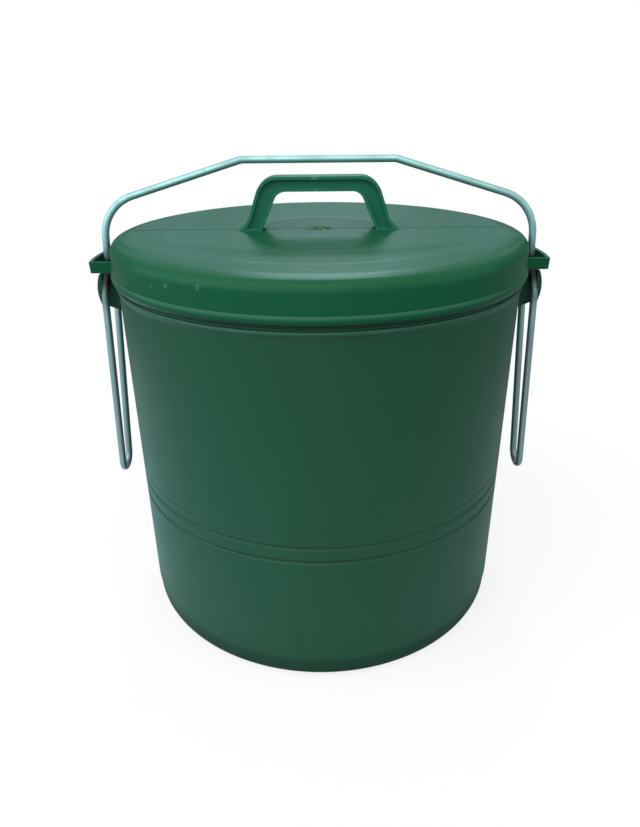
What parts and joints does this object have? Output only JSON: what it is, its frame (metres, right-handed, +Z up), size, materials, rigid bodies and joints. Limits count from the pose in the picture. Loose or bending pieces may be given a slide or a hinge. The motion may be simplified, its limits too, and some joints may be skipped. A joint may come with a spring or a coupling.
{
  "type": "kitchen compost bin",
  "caption": "Round tapered plastic bucket with a captive lid that has a moulded handle and side loops, and a wire carrying bail that slides through them.",
  "frame": {"origin": "centre of the base, on the surface that the bucket stands on", "axes": "+Z up, X through the two ears and along the lid's handle, the pictured side faces -Y"},
  "size_m": [0.3144, 0.2816, 0.3196],
  "materials": {
    "bucket_plastic": "satin deep green moulded plastic",
    "lid_plastic": "glossy deep green moulded plastic",
    "galvanised_wire": "bright galvanised drawn wire"
  },
  "bodies": {
    "bucket": {"bucket": "bucket_plastic"},
    "lid": {"lid": "lid_plastic"},
    "bail": {"bail": "galvanised_wire"}
  },
  "joints": [
    {"name": "lid_lift", "type": "slide", "parent": "bucket", "child": "lid", "axis": [0, 0, 1], "range_m": [0, 0.05]},
    {"name": "bail_lift", "type": "slide", "parent": "lid", "child": "bail", "axis": [0, 0, 1], "range_m": [0, 0.075]}
  ]
}
